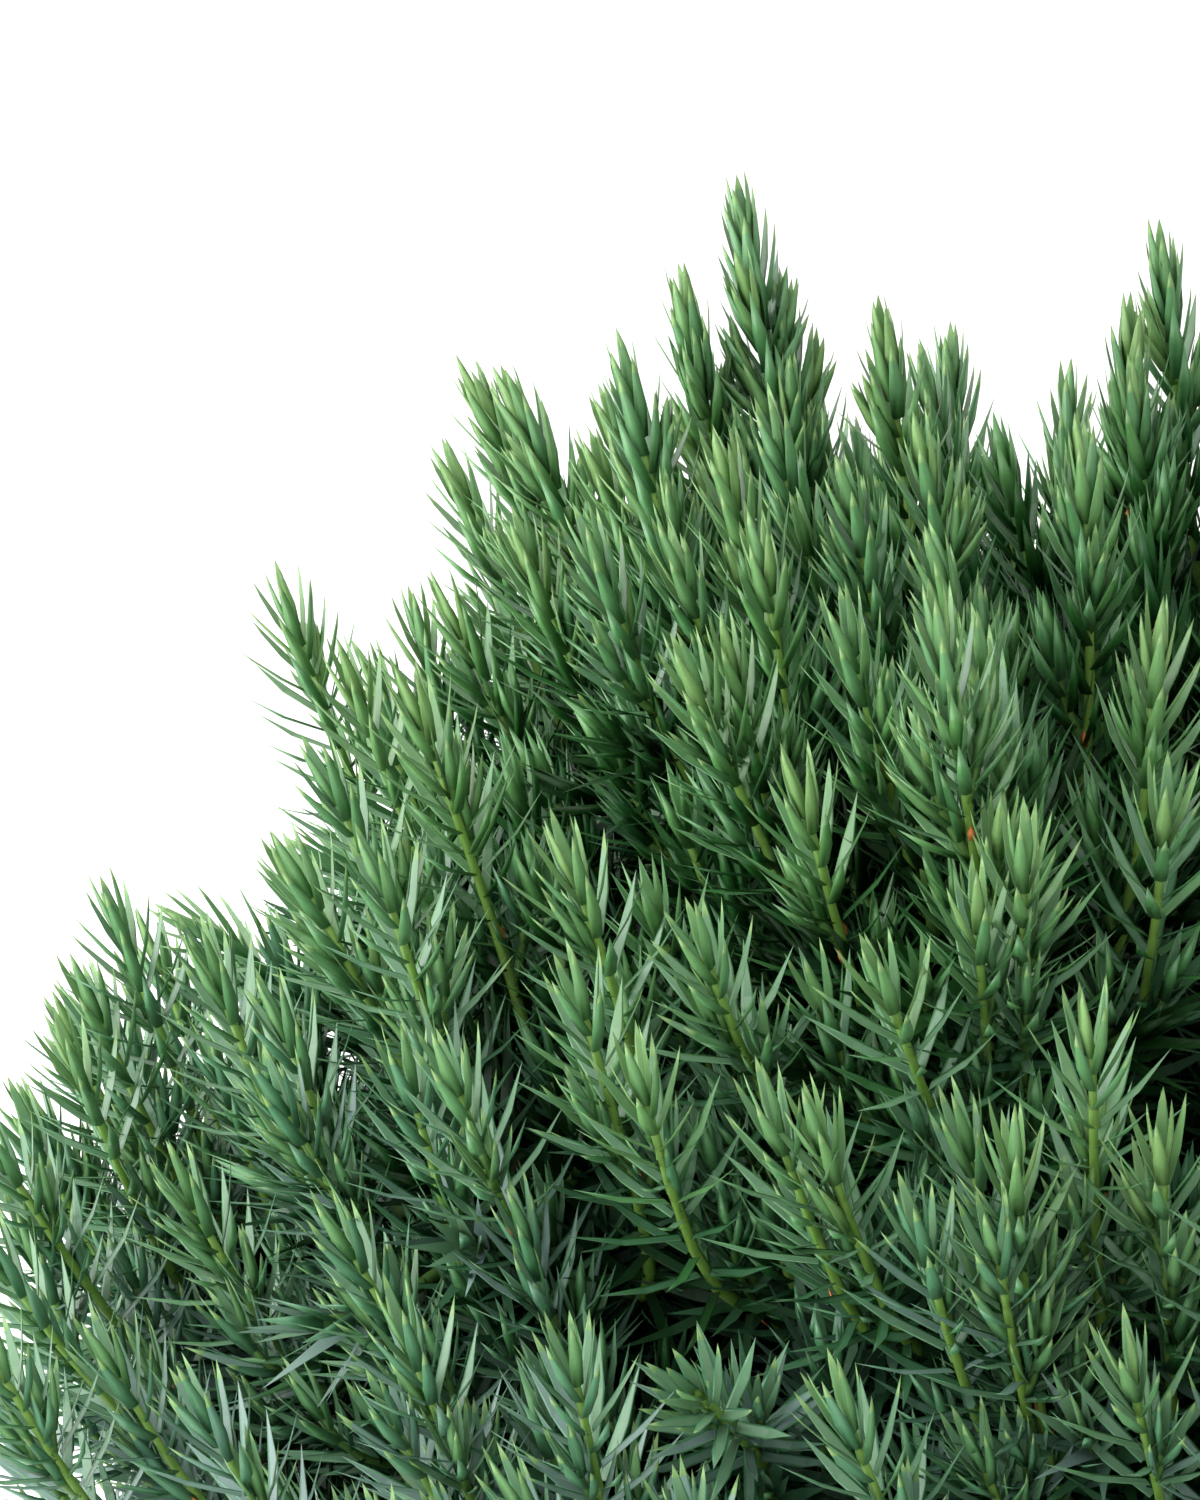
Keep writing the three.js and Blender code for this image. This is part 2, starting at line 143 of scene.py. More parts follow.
LOW_HEIGHTS = (112.0, 172.0)  # a twig that ends under the first is low and one above the second is high

SIDE_SHOOTS = 6  # how many a main shoot may carry
FIRST_SIDE = 11.0  # how far below a shoot's end its first side shoot starts
SIDE_SPACING = 3.6  # how much further down each next one starts
SPACING_GAINS = 0.5  # and this times the square of its number more
LOW_SPACING = 1.5  # and this times its number more on a low shoot
SIDE_STARTS_VARY = 2.5
SIDE_LENGTHENS = 0.36  # a side shoot's length against its depth and three millimetres
SIDE_RISES = 0.4  # how much a side shoot turns up, against its way out
SIDE_ENDS_STRAIGHT = 0.4
SIDES_MISSING = 0.06  # the share of side shoots that a high shoot lacks
LOW_SIDES_MISSING = 0.3  # and how much more of them a low one lacks
LEAST_SIDE = 1.5  # shorter ones are left out
SIDES_END = 0.85  # none start further down than this share of their shoot
SIDE_SIZE = 0.84  # a side shoot's needles against a main shoot's
SIDE_SIZE_VARIES = 0.1

UNDER_SHOOTS = 230  # more shoots between the others, whose tips lie within the crown
UNDER_PHASE = 2.1
UNDER_DEPTH = 14.0  # how far within the crown's face their tips lie at least
UNDER_VARIES = 12.0  # and how much further at most
UNDER_SIDES = 3  # how many side shoots each may carry

HEART_TWIGS = 24  # in each mass's heart
HEART_RADIUS = 2.0  # how far from the heart's middle they start
HEART_FALLS = 1.7  # how far their ways' rise falls from the first twig's, which grows straight up
HEART_LENGTH = 13.0  # how long they are at least, and how much longer they may be
HEART_LENGTH_VARIES = 15.0
BOUGH_TWIGS = 18  # on each bough
BOUGH_TWIGS_FROM = 0.3  # where along the bough they start, as a share of its curve
BOUGH_TWIGS_SPAN = 0.66
BOUGH_TWIG_LENGTH = 12.0  # how long they are at least, and how much longer they may be
BOUGH_TWIG_VARIES = 16.0
OLD_ENDS_STRAIGHT = 0.3
OLD_SIZE = 1.15  # the old twigs' needles are larger than life, so that fewer keep the inside dark

# Each kind of twig is numbered from its own start, and its needles from its own number, so that chance
# deals differently with each.
NUMBERS_A_SHOOT = 11
NUMBERS_A_TWIG = 97.0
UNDER_NUMBERS = 500
SIDE_NUMBERS = 1000
HEART_NUMBERS = 9000
BOUGH_NUMBERS = 12000

# ---- Needles ----
# Depths are measured down from a twig's end.

WHORLS = 21
FIRST_WHORL = 0.9  # its depth
WHORL_SPACING = 1.5
SPACING_GROWS = 0.05  # a whorl's depth has this many times the square of its number added
LOW_STRETCHES = 0.04  # how much further apart the whorls of a low twig are
NEEDLED_DEPTH = 46.0  # how deep a twig still carries needles
BARE_FOOT = 0.5  # how much of its foot carries none
TURN_VARIES = 0.24  # how far a needle strays from its place round the twig

NEEDLE_LENGTH = 11.3  # a grown needle on a low twig
HIGH_SHORTER = 1.8  # how much shorter a grown needle on a high twig is
BUD_NEEDLE_LENGTH = 7.3
GROWS_OVER = 7.0  # the depth over which most of a needle's lack of length is made up
LENGTH_VARIES = 0.16  # as a share of the length
NEEDLE_HALF_WIDTH = 0.8  # on a high twig
LOW_NARROWER = 0.12  # how much less it is on a low twig
OLD_NARROWER = 0.14  # the share of its width that a needle loses between the next depths
NARROWS_BETWEEN = (6.0, 18.0)
NEEDLE_KEEL = 0.18  # from a needle's flat face to its keel
BAND_WIDTH = 0.6  # how far across each half of a needle's face its pale band reaches
BAND_DEPTH = 0.3  # how deep the band lies, against the keel

BUD_ANGLE = 8.0  # degrees from the twig in the bud, and how much wider on a low twig
LOW_BUD_OPENS = 3.0
OPEN_ANGLE = 50.0  # degrees that a needle opens by as it ages, and how many more on a low twig
LOW_OPENS = 14.0
OPENS_OVER = 17.0  # the depth over which most of that is done, and how much sooner on a low twig
LOW_OPENS_SOONER = 8.0
OPENING_POWER = 1.25  # above 1, the bud stays closed longer
ANGLE_VARIES = 8.0  # degrees
CURL = 9.0  # degrees that a needle curves back towards the twig
OLD_CURL = 14.0  # more degrees that an old one has gained at the next depth
CURLS_UNTIL = 20.0
BUD_CURL = 6.0  # more degrees in the bud, which fade over the next depth
BUD_CURL_FADES = 2.0
SIDEWAYS_VARIES = 0.16
FOOT_OUT = 0.35  # how far from the twig's middle a needle starts in the bud
FOOT_OUT_UNTIL = 12.0  # and from this depth on it is twice that
NEEDLES_ABOVE = 0.4  # needles that would reach lower than this are left out

SCALES_SHARE = 0.06  # the share of older needles that are only small dry scales
SCALES_FROM = 14.0
SCALE_LENGTH = 0.16  # a scale's length, width and opening against a needle's
SCALE_WIDTH = 0.6
SCALE_OPENS = 0.1

# How finely a needle is shaped: where its rings lie along its line, their widths and keels against its own,
# and whether its flat face has a pale channel between green margins.
FINE = {
    "shares": (0.0, 0.4, 0.78),
    "widths": (0.85, 1.0, 0.52),
    "keels": (0.8, 1.0, 0.6),
    "banded": True,
}
MIDDLE = {"shares": (0.0, 0.5), "widths": (0.95, 1.0), "keels": (0.8, 1.0), "banded": True}
PLAIN = {"shares": (0.0, 0.45), "widths": (0.85, 1.0), "keels": (0.8, 1.0), "banded": False}
SPIKE = {"shares": (0.0,), "widths": (1.25,), "keels": (1.3,), "banded": False}
COARSER = (("middle", MIDDLE), ("deep", PLAIN), ("inner", SPIKE))
# Each shape but the last is for needles less deep than its first number and less far inside the crown than
# its second. A needle gets the finest shape that it can.
REACHES = ((8.0, 18.0), (26.0, 26.0), (99.0, 36.0))
MASSES_A_PIECE = 4

# ---- Colours, as they show on screen ----

# The needles' backs from the bud down, each age in shades that run from green to grey.
# The older rows are darker than the needles' own colour: partly their age, partly painted shade low in the
# shoots and inside the crown.
BACKS = [
    [(115, 153, 91), (96, 141, 88), (79, 128, 92), (79, 123, 101)],
    [(99, 144, 86), (87, 136, 87), (77, 127, 92), (84, 126, 104)],
    [(83, 134, 74), (77, 129, 78), (75, 127, 87), (85, 128, 102)],
    [(38, 86, 36), (36, 84, 40), (36, 80, 46), (42, 78, 56)],
    [(20, 48, 16), (18, 46, 16), (16, 42, 16), (22, 44, 20)],
]
# Their flat faces, which bear the pale bloom; their older rows are darkened the same way, partly with
# painted shade.
FACES = [
    [(106, 145, 92), (98, 136, 98), (106, 133, 119)],
    [(96, 137, 88), (98, 134, 101), (109, 135, 125)],
    [(83, 129, 79), (94, 131, 101), (111, 135, 130)],
    [(46, 92, 46), (56, 96, 66), (68, 96, 82)],
    [(22, 54, 22), (22, 52, 26), (20, 48, 28)],
]
SHINE = [0.48, 0.6, 0.6, 0.32, 0.15]  # how strongly each age reflects
NEEDLE_ROUGHNESS = 0.4
AGE_AND_SHADE_ENDS = [3.4, 9.0, 22.0, 42.0]  # the ages, with painted shade for the inside added, in millimetres of depth, at which the next row starts
AGE_VARIES = 2.2
POINTED_AGES = 2  # how many of the ages have the light point
POINT = (108, 145, 85)
OLD_POINT = (95, 137, 86)
DRY = (200, 118, 62)
GREEN_TWIG = (74, 112, 48)
GREEN_STEM = (98, 136, 52)
BROWN_TWIG = (60, 54, 34)
BROWN_FROM = 38.0  # how far below its end a twig turns brown
FLOOR_WHITE = (244, 244, 242)

SHADED_FROM = 11.5  # painted shade: needles further inside the crown than this are dealt the darker rows of older ones
SHADE_AGES = 1.3  # by this many millimetres of depth for each one further in
OLD_AGEING_AND_SHADE = 46.0  # old twigs' needles deep inside the crown count this many millimetres deeper: their age and painted shade
OLD_INSIDE = (12.0, 32.0)  # from none of it this far inside the crown to all of it this far

BLOOM_HEIGHTS = (50.0, 120.0)  # the bloom is full under the first height and gone above the second
BLOOM_DEPTHS = (1.0, 5.0)  # and in the bud it has only a share of its strength
BLOOM_IN_BUD = 0.6
BLOOM_COUNTS = 0.5  # how much of a needle's shade comes of the bloom, its spray and its own chance
SPRAY_COUNTS = 0.3
OWN_COUNTS = 0.2
UNDER_ONE = 0.999  # keeps the greyest shade's number within its row


# ---- Small helpers on whole arrays ----

def unit(vectors):
    """Each vector divided by its own length."""
    return vectors / np.maximum(np.linalg.norm(vectors, axis=-1, keepdims=True), 1e-9)


def chance(number, purpose):
    """A repeatable number from 0 to 1: the broken part of a tall sine wave of the number and its purpose."""
    wave = np.sin(number * 127.1 + purpose * 311.7) * 43758.5453
    return wave - np.floor(wave)


def ease(low, high, value):
    """Goes smoothly from 0 at low to 1 at high: three times the share squared less twice its cube."""
    share = np.clip((value - low) / (high - low), 0, 1)
    return share * share * (3 - 2 * share)


def bezier(points, share):
    """Places on cubic Bezier curves: four corners weighted by the share's and the rest's powers."""
    share = share[..., None]
    rest = 1 - share
    a, b, c, d = (points[..., i, :] for i in range(4))
    return rest**3 * a + 3 * rest**2 * share * b + 3 * rest * share**2 * c + share**3 * d


def bezier_way(points, share):
    """The way a cubic Bezier curve runs at a share of it, as a unit vector."""
    share = share[..., None]
    rest = 1 - share
    a, b, c, d = (points[..., i, :] for i in range(4))
    return unit(rest**2 * (b - a) + 2 * rest * share * (c - b) + share**2 * (d - c))


def across_frame(way):
    """Two unit vectors square to each way and to each other."""
    helper = np.where(np.abs(way[..., 2:3]) > 0.9, [[1.0, 0.0, 0.0]], [[0.0, 0.0, 1.0]])
    first = unit(np.cross(way, helper))
    return first, np.cross(way, first)


# ---- The growth rule ----

def lattice_directions(count, phase, droop, strays=False):
    """Directions spread evenly over the crown: each a golden angle on from the last and a step lower.

    Where they stray, each one's rise and its turn vary a little, the turn more where the crown narrows.
    """
    number = np.arange(count)
    rise = 1 - (number + 0.5) / count * (1 + math.sin(droop))
    sway = 0
    if strays:
        rise = np.minimum(0.999, rise + STRAY_RISE * (chance(number, SHOOT_SEED) - 0.5))
        flat = np.maximum(LEAST_FLAT, np.sqrt(1 - rise**2))
        sway = STRAY_TURN * (chance(number, SHOOT_SEED + 1) - 0.5) / flat
    flat = np.sqrt(1 - rise**2)
    turn = number * GOLDEN_ANGLE + phase + sway
    return np.stack([flat * np.cos(turn), flat * np.sin(turn), rise], -1)


def crown_points(directions, reach=0.0):
    """Where each direction from the crown's middle meets its ellipsoid, or stands out of it by reach."""
    face = 1 / np.linalg.norm(directions / CROWN_RADII, axis=-1)
    return CROWN_MIDDLE + directions * (face + reach)[:, None]


def growing_directions(directions):
    """Growth points up at the top and leans out by a rising share of its place's angle from straight up."""
    polar = np.arccos(np.clip(directions[:, 2], -1, 1))
    lean = polar * (LEAN_AT_TOP + LEAN_GAINS * (polar / (math.pi / 2)) ** 4)
    across = unit(directions * LEVEL)
    return across * np.sin(lean)[:, None] + UP * np.cos(lean)[:, None]


def plan_masses():
    """Each mass's heart, a set depth in from the crown's face, its axis and the middle of its cell."""
    directions = lattice_directions(MASSES, MASS_PHASE, MASS_DROOP)
    faces = crown_points(directions)
    hearts = faces - growing_directions(directions) * HEART_DEPTH
    hearts[:, 2] = np.maximum(hearts[:, 2], LOWEST_HEART)
    return hearts, unit(faces - hearts), hearts + CELL_SHARE * (faces - hearts)


def nearest_mass(points, middles):
    """The number of the mass whose cell each point lies in."""
    return np.linalg.norm(points[:, None] - middles, axis=-1).argmin(-1)


def plan_tips(hearts, axes, middles):
    """Each shoot's tip and its mass.

    Tips stand out most on their mass's axis and dip by the square of the way off it. The tip nearest to each
    leading shoot's place moves there.
    """
    number = np.arange(SHOOTS)
    directions = lattice_directions(SHOOTS, SHOOT_PHASE, CROWN_DROOP, strays=True)
    faces = crown_points(directions)
    home = nearest_mass(faces, middles)
    off = faces - hearts[home]
    off -= axes[home] * (off * axes[home]).sum(-1, keepdims=True)
    aside = np.linalg.norm(off, axis=-1)
    varied = TIP_VARIES * (2 * chance(number, SHOOT_SEED + 7) - 1)
    reach = np.maximum(SHORTEST_REACH, varied - TIP_DIPS * (aside / DIP_DISTANCE) ** 2)
    tips = crown_points(directions, TIP_STANDS_OUT + reach)
    for leader in LEADERS:
        tips[np.linalg.norm(tips - leader, axis=-1).argmin()] = leader
    tips = np.concatenate([tips, MORE_TIPS, GAP_TIPS])
    return tips, nearest_mass(tips, middles)


def plan_under_tips(middles):
    """Tips of more shoots between the others, each set back within the crown by its own amount."""
    directions = lattice_directions(UNDER_SHOOTS, UNDER_PHASE, CROWN_DROOP)
    depth = UNDER_DEPTH + UNDER_VARIES * chance(np.arange(UNDER_SHOOTS), 81)
    tips = crown_points(directions, -depth)
    return tips, nearest_mass(tips, middles)


# ---- Twigs ----

class Twigs:
    """Many twigs at once: the four corners of each one's curve, its mass, number, size and measured run."""

    def __init__(self, corners, home, number, size):
        self.corners = corners
        self.home = home
        self.number = number
        self.size = size
        self.low = 1 - ease(*LOW_HEIGHTS, corners[:, 3, 2])
        shares = np.linspace(0, 1, TWIG_STEPS + 1)
        places = bezier(corners[:, None], np.broadcast_to(shares, (len(corners), TWIG_STEPS + 1)))
        steps = np.linalg.norm(np.diff(places, axis=1), axis=-1)
        self.run = np.concatenate([np.zeros((len(corners), 1)), np.cumsum(steps, 1)], 1)
        self.length = self.run[:, -1]

    def share_below_end(self, depth):
        """The curve's share at a depth below the twig's end, from its measured run."""
        wanted = np.clip(self.length[:, None] - depth, 0, self.length[:, None])
        step = np.clip((self.run[:, None, :] <= wanted[..., None]).sum(-1) - 1, 0, TWIG_STEPS - 1)
        low = np.take_along_axis(self.run, step, 1)
        high = np.take_along_axis(self.run, step + 1, 1)
        return (step + (wanted - low) / np.maximum(high - low, 1e-9)) / TWIG_STEPS


def bent_corners(start, leaves, stop, ends, length, straight):
    """A twig's four corners: it leaves one way and ends another, each straight for a share of its length."""
    bend = start + leaves * length * LEAVES_STRAIGHT
    return np.stack([start, bend, stop - ends * length * straight, stop], -2)


def main_twigs(tips, home, number, hearts, axes):
    """Each shoot leaves its mass's stem and bends up, to end a bud's length short of its tip.

    Its end leans out by an angle that grows with its place's angle from straight up until it is SHOOT_LEAN,
    and drifts to the light. A few lean much further. The bend is a corner straight below the end, and the
    corner before it lies on the straight way from the start to the bend.
    """
    way = unit(tips - hearts[home])
    place = unit(tips - CROWN_MIDDLE)
    polar = np.arccos(np.clip(place[:, 2], -1, 1))
    far = (chance(number, FAR_LEAN_SEED) < FAR_LEAN_SHARE) & (place[:, 2] < FAR_LEAN_BELOW)
    lean = SHOOT_LEAN * np.minimum(1, polar / LEANS_FROM) + FAR_LEAN * far
    rising = unit(place * LEVEL) * np.sin(lean)[:, None] + UP * np.cos(lean)[:, None]
    rising = unit(rising + SHOOT_DRIFT)
    sway = np.stack([chance(number, purpose) - 0.5 for purpose in (11, 12, 13)], -1) * SHOOT_SWAY
    ends = unit((1 - FROM_HEART) * rising + FROM_HEART * way + sway)
    steepest = np.minimum(ends[:, 2], (tips[:, 2] - TWIGS_ABOVE) / LEAST_STRAIGHT)
    ends = unit(ends * LEVEL) * np.sqrt(1 - steepest**2)[:, None] + UP * steepest[:, None]
    starts = hearts[home] + axes[home] * (HEART_SPREAD * (2 * chance(number, 14) - 1))[:, None]
    room = (tips[:, 2] - TWIGS_ABOVE) / np.maximum(ends[:, 2], 0.1)
    bends = tips - ends * np.clip(room, LEAST_STRAIGHT, STRAIGHT_END)[:, None]
    stops = tips - ends * BUD_LENGTH
    corners = np.stack([starts, starts + BEND_STARTS * (bends - starts), bends, stops], 1)
    return Twigs(corners, home, number, np.ones(len(tips)))


def side_twigs(main, each):
    """Side twigs leave a shoot in a spiral below its end, the lower the longer, and bend up beside it.

    Each leaves along 0.8 of the shoot's way and 0.6 of the way out, and ends along 0.85 of the shoot's end,
    0.25 of the way out and 0.15 of straight up. It is 0.8 to 1.15 times as long as its depth makes it.
    """
    count = len(main.home)
    place = np.broadcast_to(np.arange(each), (count, each))
    number = main.number[:, None] * NUMBERS_A_SHOOT + place
    spacing = SIDE_SPACING + SPACING_GAINS * place + LOW_SPACING * main.low[:, None]
    depth = FIRST_SIDE + spacing * place + SIDE_STARTS_VARY * (chance(number, 21) - 0.5)
    share = main.share_below_end(depth)
    corners = main.corners[:, None]
    start = bezier(corners, share)
    way = bezier_way(corners, share)
    main_end = unit(corners[:, :, 3] - corners[:, :, 2])
    first, second = across_frame(way)
    turn = (chance(main.number, 22)[:, None] * 2 * math.pi + place * GOLDEN_ANGLE)[..., None]
    outward = unit(first * np.cos(turn) + second * np.sin(turn) + UP * SIDE_RISES)
    length = SIDE_LENGTHENS * (depth + 3) * (0.8 + 0.35 * chance(number, 23))
    missing = chance(number, 24) < SIDES_MISSING + LOW_SIDES_MISSING * main.low[:, None]
    length = np.where(missing, 0, length)[..., None]
    leaves = unit(way * 0.8 + outward * 0.6)
    ends = unit(main_end * 0.85 + outward * 0.25 + UP * 0.15)
    stop = start + length * unit(leaves + ends)
    corners = bent_corners(start, leaves, stop, ends, length, SIDE_ENDS_STRAIGHT)
    kept = (depth < main.length[:, None] * SIDES_END) & (length[..., 0] > LEAST_SIDE)
    kept &= stop[..., 2] > TWIGS_ABOVE
    home = np.broadcast_to(main.home[:, None], (count, each))
    size = SIDE_SIZE + SIDE_SIZE_VARIES * chance(number, 25)
    return Twigs(corners[kept], home[kept], SIDE_NUMBERS + number[kept], size[kept])


def heart_twigs(hearts):
    """Short old twigs fill each mass's heart.

    They leave it a golden angle apart, each less steeply up than the last, and turn up at their ends.
    """
    number = np.arange(MASSES * HEART_TWIGS)
    home = number // HEART_TWIGS
    rise = 1 - HEART_FALLS * (number % HEART_TWIGS + 0.5) / HEART_TWIGS
    turn = number * GOLDEN_ANGLE
    flat = np.sqrt(1 - rise**2)
    way = np.stack([flat * np.cos(turn), flat * np.sin(turn), rise], -1)
    length = (HEART_LENGTH + HEART_LENGTH_VARIES * chance(number, 61))[:, None]
    start = hearts[home] + way * HEART_RADIUS
    stop = start + way * length
    stop[:, 2] = np.maximum(stop[:, 2], TWIGS_ABOVE)
    corners = bent_corners(start, way, stop, unit(way + UP * 0.6), length, OLD_ENDS_STRAIGHT)
    return Twigs(corners, home, HEART_NUMBERS + number, np.full(len(number), OLD_SIZE))


def bough_twigs(corners):
    """Short old twigs along each bough, a golden angle apart round it, which leave outwards and turn up."""
    number = np.arange(MASSES * BOUGH_TWIGS)
    home = number // BOUGH_TWIGS
    share = BOUGH_TWIGS_FROM + BOUGH_TWIGS_SPAN * (number % BOUGH_TWIGS + 0.5) / BOUGH_TWIGS
    start = bezier(corners[home], share)
    way = bezier_way(corners[home], share)
    first, second = across_frame(way)
    turn = (number * GOLDEN_ANGLE)[:, None]
    outward = first * np.cos(turn) + second * np.sin(turn)
    length = (BOUGH_TWIG_LENGTH + BOUGH_TWIG_VARIES * chance(number, 71))[:, None]
    leaves = unit(outward + way * 0.4)
    ends = unit(leaves + UP * 0.8)
    stop = start + length * unit(leaves + ends)
    stop[:, 2] = np.maximum(stop[:, 2], TWIGS_ABOVE)
    corners = bent_corners(start, leaves, stop, ends, length, OLD_ENDS_STRAIGHT)
    return Twigs(corners, home, BOUGH_NUMBERS + number, np.full(len(number), OLD_SIZE))


# ---- Needles ----

class Needles:
    """Many needles at once: where each stands and grows, how deep, how far inside, its age plus painted
    shade, its numbers.

    Each whorl has three needles a third of a turn apart, and stands a sixth of a turn on from the last one.
    """

    def __init__(self, twigs, ageing_and_shade=0.0):
        whorl = np.arange(WHORLS)
        whorl_depths = FIRST_WHORL + WHORL_SPACING * whorl + SPACING_GROWS * whorl**2
        depth = whorl_depths * (twigs.size * (1 + LOW_STRETCHES * twigs.low))[:, None]
        number = twigs.number[:, None, None] * NUMBERS_A_TWIG + np.arange(WHORLS * 3).reshape(WHORLS, 3)
        share = twigs.share_below_end(depth)
        place = bezier(twigs.corners[:, None], share)[:, :, None]
        way = bezier_way(twigs.corners[:, None], share)[:, :, None]
        first, second = across_frame(way)
        turn = chance(twigs.number, 31)[:, None, None] * 2 * math.pi + whorl[:, None] * math.pi / 3
        turn = turn + np.arange(3) * 2 * math.pi / 3 + TURN_VARIES * (chance(number, 32) - 0.5)
        outward = first * np.cos(turn)[..., None] + second * np.sin(turn)[..., None]
        kept = (depth < np.minimum(NEEDLED_DEPTH, twigs.length[:, None] - BARE_FOOT))[..., None]
        kept = np.broadcast_to(kept, number.shape)
        whole = number.shape + (3,)
        self.foot = np.broadcast_to(place, whole)[kept]
        self.way = np.broadcast_to(way, whole)[kept]
        self.outward = outward[kept]
        self.number = number[kept]
        self.depth = np.broadcast_to(depth[..., None], number.shape)[kept]
        self.size = np.broadcast_to(twigs.size[:, None, None], number.shape)[kept]
        self.low = np.broadcast_to(twigs.low[:, None, None], number.shape)[kept]
        self.spray = np.broadcast_to(twigs.number[:, None, None], number.shape)[kept]
        self.home = np.broadcast_to(twigs.home[:, None, None], number.shape)[kept]
        inside = 1 - np.linalg.norm((self.foot - CROWN_MIDDLE) / CROWN_RADII, axis=-1)
        self.inside = inside * CROWN_RADII.mean()
        # Painted shade: needles deep inside the crown count as older, so that they are dealt darker rows.
        self.age = self.depth + SHADE_AGES * np.maximum(0, self.inside - SHADED_FROM)
        self.age = self.age + ageing_and_shade * ease(*OLD_INSIDE, self.inside)

    def pick(self, chosen):
        """The same needles with only the chosen ones left."""
        picked = object.__new__(Needles)
        for name, values in vars(self).items():
            setattr(picked, name, values[chosen])
        return picked


def shape_kinds(needles, finest):
    """Which shape each needle gets: the first whose reach holds it, or the last, but none before finest."""
    kinds = np.full(len(needles.depth), len(REACHES))
    for at, (depth, inside) in reversed(list(enumerate(REACHES))):
        kinds[(needles.depth < depth) & (needles.inside < inside)] = at
    return np.maximum(kinds, finest)


def is_scale(needles):
    """Which needles are only small dry scales pressed to the twig: a few of the older ones."""
    return (chance(needles.number, 55) < SCALES_SHARE) & (needles.depth > SCALES_FROM)


def needle_angles(needles, depth, scale):
    """The angle from the twig at which each needle starts, and how far it curls back by its point.

    The angle opens with depth by one less a falling power of e, that of depth over OPENS_OVER to a power.
    """
    low = needles.low
    opened = 1 - np.exp(-(depth / (OPENS_OVER - LOW_OPENS_SOONER * low)) ** OPENING_POWER)
    opened = opened * (OPEN_ANGLE + LOW_OPENS * low) * np.where(scale, SCALE_OPENS, 1)
    closed = BUD_ANGLE + LOW_BUD_OPENS * low + ANGLE_VARIES * (chance(needles.number, 42) - 0.5)
    curl = CURL + OLD_CURL * ease(0, CURLS_UNTIL, depth) + BUD_CURL * np.exp(-depth / BUD_CURL_FADES)
    return np.radians(closed + opened), np.radians(curl)


def needle_sizes(needles, depth, scale):
    """Each needle's length, which nears its full length with depth, and half its width, which shrinks."""
    full = NEEDLE_LENGTH - HIGH_SHORTER * (1 - needles.low)
    length = full - (full - BUD_NEEDLE_LENGTH) * np.exp(-depth / GROWS_OVER)
    length = length * (1 + LENGTH_VARIES * (chance(needles.number, 41) - 0.5))
    length = length * needles.size * np.where(scale, SCALE_LENGTH, 1)
    half = NEEDLE_HALF_WIDTH - LOW_NARROWER * needles.low
    half = half * (1 - OLD_NARROWER * ease(*NARROWS_BETWEEN, depth))
    return length, half * needles.size * np.where(scale, SCALE_WIDTH, 1)


def needle_rings(needles, shares, widths, keels, banded):
    """A needle's places: rings of corners along its line, and its point.

    The line starts at the needle's angle from the twig and turns back by its curl. A ring's margins lie half
    a width to each side of the line, and its keel lies below it, away from the twig. The pale channel's two
    edges lie a little below the margins.
    """
    depth = needles.depth / needles.size
    scale = is_scale(needles)
    angle, curl = needle_angles(needles, depth, scale)
    length, half = needle_sizes(needles, depth, scale)
    side = np.cross(needles.way, needles.outward)
    sideways = SIDEWAYS_VARIES * (chance(needles.number, 43) - 0.5)
    place = needles.foot + needles.outward * (FOOT_OUT * (1 + ease(0, FOOT_OUT_UNTIL, depth)))[:, None]
    corners = []
    last = 0.0
    for share, width, keel in zip([*shares, 1.0], [*widths, 0], [*keels, 0]):
        turned = angle - curl * (share + last) / 2
        way = needles.outward * np.sin(turned)[:, None] + needles.way * np.cos(turned)[:, None]
        place = place + (length * (share - last))[:, None] * unit(way + side * (sideways * share)[:, None])
        last = share
        if share == 1:
            corners.append(place)
            break
        turned = (angle - curl * share)[:, None]
        under = needles.outward * np.cos(turned) - needles.way * np.sin(turned)
        margin = side * (half * width)[:, None]
        thick = under * (NEEDLE_KEEL * needles.size * keel)[:, None]
        if banded:
            corners += [place - margin, place - margin * BAND_WIDTH + thick * BAND_DEPTH]
            corners += [place + margin * BAND_WIDTH + thick * BAND_DEPTH, place + margin]
        else:
            corners += [place - margin, place + margin]
        corners.append(place + thick)
    return np.stack(corners, 1)


def needle_faces(rings, banded):
    """One needle's triangles, with what each one is: 0 the pale face, 1 the green back and 2 the point."""
    round_kinds = [1, 0, 1, 1, 1] if banded else [0, 1, 1]
    around = len(round_kinds)
    faces = [(0, at + 1, at) for at in range(1, around - 1)]
    kinds = [1] * len(faces)
    for ring in range(rings):
        for at, kind in enumerate(round_kinds):
            here = ring * around + at
            there = ring * around + (at + 1) % around
            if ring == rings - 1:
                faces.append((here, there, rings * around))
                kinds.append(2 if rings == len(FINE["shares"]) else kind)
            else:
                faces += [(here, there, there + around), (here, there + around, here + around)]
                kinds += [kind, kind]
    return np.array(faces), np.array(kinds)


# ---- Finishes ----

def linear(red, green, blue):
    """A colour given as 0 to 255 on screen, turned into linear light."""
    share = np.array([red, green, blue]) / 255
    return tuple(np.where(share <= 0.04045, share / 12.92, ((share + 0.055) / 1.055) ** 2.4)) + (1.0,)


def plain_finish(name, colour, roughness, specular=0.5):
    """A finish of one plain colour for a blade or twig that is a few pixels wide."""
    material = bpy.data.materials.new(name)
    material.use_nodes = True
    shader = material.node_tree.nodes["Principled BSDF"]
    shader.inputs["Base Color"].default_value = linear(*colour)
    shader.inputs["Roughness"].default_value = roughness
    shader.inputs["Specular IOR Level"].default_value = specular
    return material


